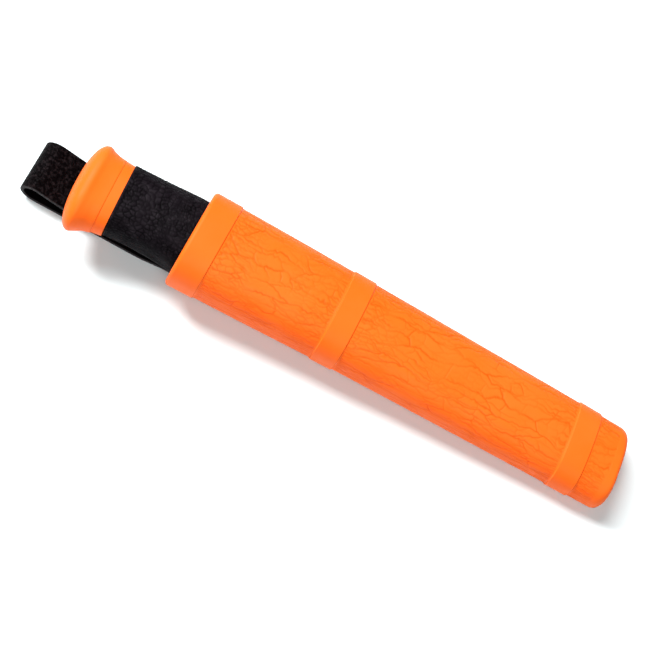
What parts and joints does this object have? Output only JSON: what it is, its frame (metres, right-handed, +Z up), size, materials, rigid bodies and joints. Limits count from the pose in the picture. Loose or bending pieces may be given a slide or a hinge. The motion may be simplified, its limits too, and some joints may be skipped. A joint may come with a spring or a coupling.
{
  "type": "rigging knife with belt sheath",
  "caption": "Fixed-blade sailor's knife with a rubber grip, held in a tapered oval moulded sheath that hangs from a riveted leather belt loop.",
  "frame": {"origin": "on the ground under the middle of the sheathed knife's box", "axes": "+X along the knife from pommel to sheath tip, +Y to the blade's spine side, +Z up, away from the belt strap"},
  "size_m": [0.267, 0.044, 0.0381],
  "materials": {
    "sheath_plastic": "satin moulded plastic with a leather grain, smooth bands",
    "liner_plastic": "plain moulded",
    "strap_leather": "black, soft shine",
    "rivet_metal": "nickel plated",
    "blade_steel": "fine lengthwise brushing",
    "handle_plastic": "smooth satin",
    "grip_rubber": "leather grain"
  },
  "bodies": {
    "sheath": {"sheath_shell": "sheath_plastic", "blade_liner": "liner_plastic", "strap_tab": "strap_leather", "rivet_posts": "rivet_metal", "rivet_caps": "rivet_metal"},
    "knife": {"blade": "blade_steel", "tang_pins": "rivet_metal", "handle_core": "handle_plastic", "grip_sleeve": "grip_rubber", "pommel_cap": "handle_plastic"},
    "strap": {"strap_loop": "strap_leather"}
  },
  "joints": [
    {"name": "knife_draw", "type": "slide", "parent": "sheath", "child": "knife", "axis": [-0.9981, 0, 0.061], "range_m": [0, 0.19]},
    {"name": "strap_flex", "type": "hinge", "parent": "sheath", "child": "strap", "pos_m": [-0.06706, 0.00104, 0.00265], "axis": [0, -1, 0], "range_deg": [0, 75]}
  ]
}
